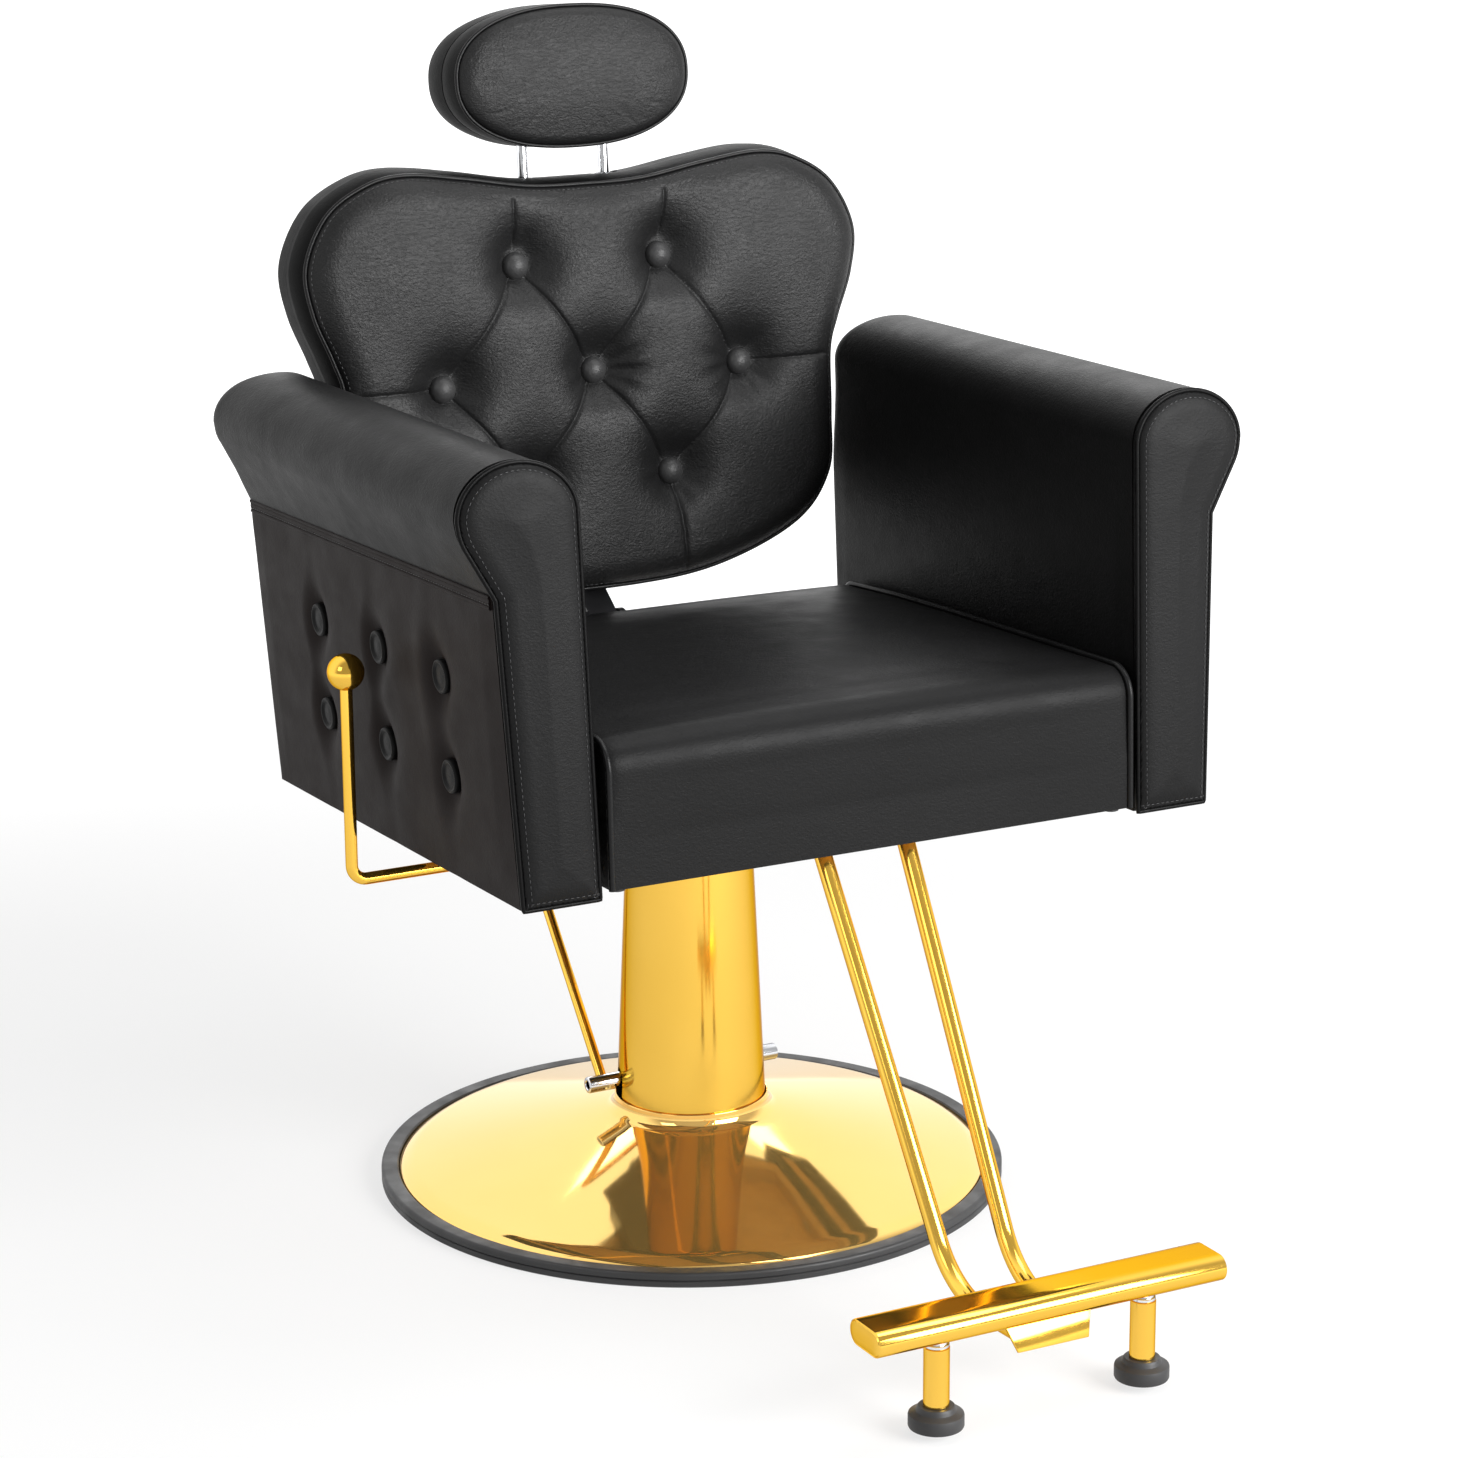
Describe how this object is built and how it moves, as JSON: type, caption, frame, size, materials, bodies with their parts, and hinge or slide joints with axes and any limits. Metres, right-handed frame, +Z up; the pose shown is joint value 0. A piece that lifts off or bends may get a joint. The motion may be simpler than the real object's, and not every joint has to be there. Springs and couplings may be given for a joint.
{
  "type": "hydraulic barber chair",
  "caption": "Hydraulic barber chair with scroll arms, deep-buttoned butterfly back, headrest, gold round base, tapered pump cover and fixed footrest.",
  "frame": {"origin": "on the floor under the axis of the pump, at the centre of the round base", "axes": "+Z up along the pump axis, the sitter faces -Y, the sitter's right hand is at -X"},
  "size_m": [0.779, 0.9605, 1.092],
  "materials": {
    "gold": "mirror polished gold",
    "chrome": "polished",
    "steel": "plain",
    "black_steel": "satin black",
    "rubber_black": "matt",
    "plywood": "raw",
    "black_leather": "semi-gloss, fine grain"
  },
  "bodies": {
    "base": {"base_rim": "rubber_black", "floor_plate": "steel", "base_dish": "gold", "pump_block": "steel", "pump_bolts": "black_steel", "oil_tank": "steel", "pressure_cylinder": "steel", "pump_gland": "black_steel", "wiper_seal": "rubber_black", "skirt_collar": "rubber_black", "pump_skirt": "gold", "plunger_spring": "steel"},
    "lift": {"pump_ram": "chrome", "pump_piston": "black_steel", "thrust_washer": "steel", "ram_cap": "black_steel"},
    "pedal": {"pedal_shaft": "chrome", "pump_cam": "black_steel", "pump_pedal": "gold"},
    "plunger": {"plunger": "chrome"},
    "seat": {"seat_frame": "black_steel", "seat_bolts": "steel", "seat_board": "plywood", "seat_end_rails": "plywood", "seat_side_rails": "plywood", "seat_band": "black_leather", "seat_cushion": "black_leather", "seat_piping": "black_leather", "glides": "rubber_black", "arm_left": "black_leather", "arm_right": "black_leather", "arm_facings": "black_leather", "arm_buttons": "black_leather", "arm_cores": "plywood", "arm_spacers": "steel", "arm_bolts": "steel", "lever_bushes": "chrome", "hinge_pins": "steel", "footrest_tubes": "gold", "foot_bar": "gold", "foot_bracket": "gold", "footrest_legs": "gold", "leg_necks": "chrome", "foot_pads": "rubber_black"},
    "lever": {"recline_lever": "gold", "lever_ball": "gold", "release_finger": "black_steel"},
    "strut": {"strut_rod": "chrome"},
    "release": {"release_pin": "steel"},
    "cylinder": {"strut_cylinder": "black_steel"},
    "back": {"back_bracket": "black_steel", "back_board": "plywood", "back_cushion": "black_leather", "back_rear": "black_leather", "back_piping": "black_leather", "back_buttons": "black_leather", "post_fittings": "chrome"},
    "headrest": {"headrest_posts": "chrome", "headrest_core": "plywood", "headrest_cushion": "black_leather"}
  },
  "joints": [
    {"name": "lift_slide", "type": "slide", "parent": "base", "child": "lift", "axis": [0, 0, 1], "range_m": [0, 0.15]},
    {"name": "swivel", "type": "hinge", "parent": "lift", "child": "seat", "pos_m": [0, 0, 0.35], "axis": [0, 0, 1], "continuous": true},
    {"name": "recline", "type": "hinge", "parent": "seat", "child": "back", "pos_m": [0, 0.18, 0.5], "axis": [-1, 0, 0], "range_deg": [0, 35]},
    {"name": "headrest_slide", "type": "slide", "parent": "back", "child": "headrest", "axis": [0, 0.0859, 0.9963], "range_m": [-0.025, 0.07]},
    {"name": "lever_turn", "type": "hinge", "parent": "seat", "child": "lever", "pos_m": [0, -0.087, 0.371], "axis": [-1, 0, 0], "range_deg": [0, 20], "stiffness_Nm_per_rad": 2, "springref_deg": -28.65},
    {"name": "release_slide", "type": "slide", "parent": "strut", "child": "release", "axis": [0, 0.009, 1], "range_m": [0, 0.0065]},
    {"name": "strut_turn", "type": "hinge", "parent": "seat", "child": "strut", "pos_m": [0, -0.118, 0.398], "axis": [-1, 0, 0], "range_deg": [0, 3]},
    {"name": "strut_stroke", "type": "slide", "parent": "strut", "child": "cylinder", "axis": [0, -1, 0.009], "range_m": [0, 0.0695]},
    {"name": "pedal_press", "type": "hinge", "parent": "base", "child": "pedal", "pos_m": [0, 0.019, 0.095], "axis": [-1, 0, 0], "range_deg": [0, 38], "stiffness_Nm_per_rad": 5, "springref_deg": -34.38},
    {"name": "plunger_stroke", "type": "slide", "parent": "base", "child": "plunger", "axis": [0, 0, -1], "range_m": [0, 0.0131], "deforming": ["plunger_spring"]}
  ],
  "couplings": [
    {"joint": "strut_turn", "follows": "recline", "ratio": 0.0755},
    {"joint": "strut_stroke", "follows": "recline", "m_per_rad": 0.11281},
    {"joint": "release_slide", "follows": "lever_turn", "m_per_rad": 0.018},
    {"joint": "plunger_stroke", "follows": "pedal_press", "m_per_rad": 0.019635}
  ]
}
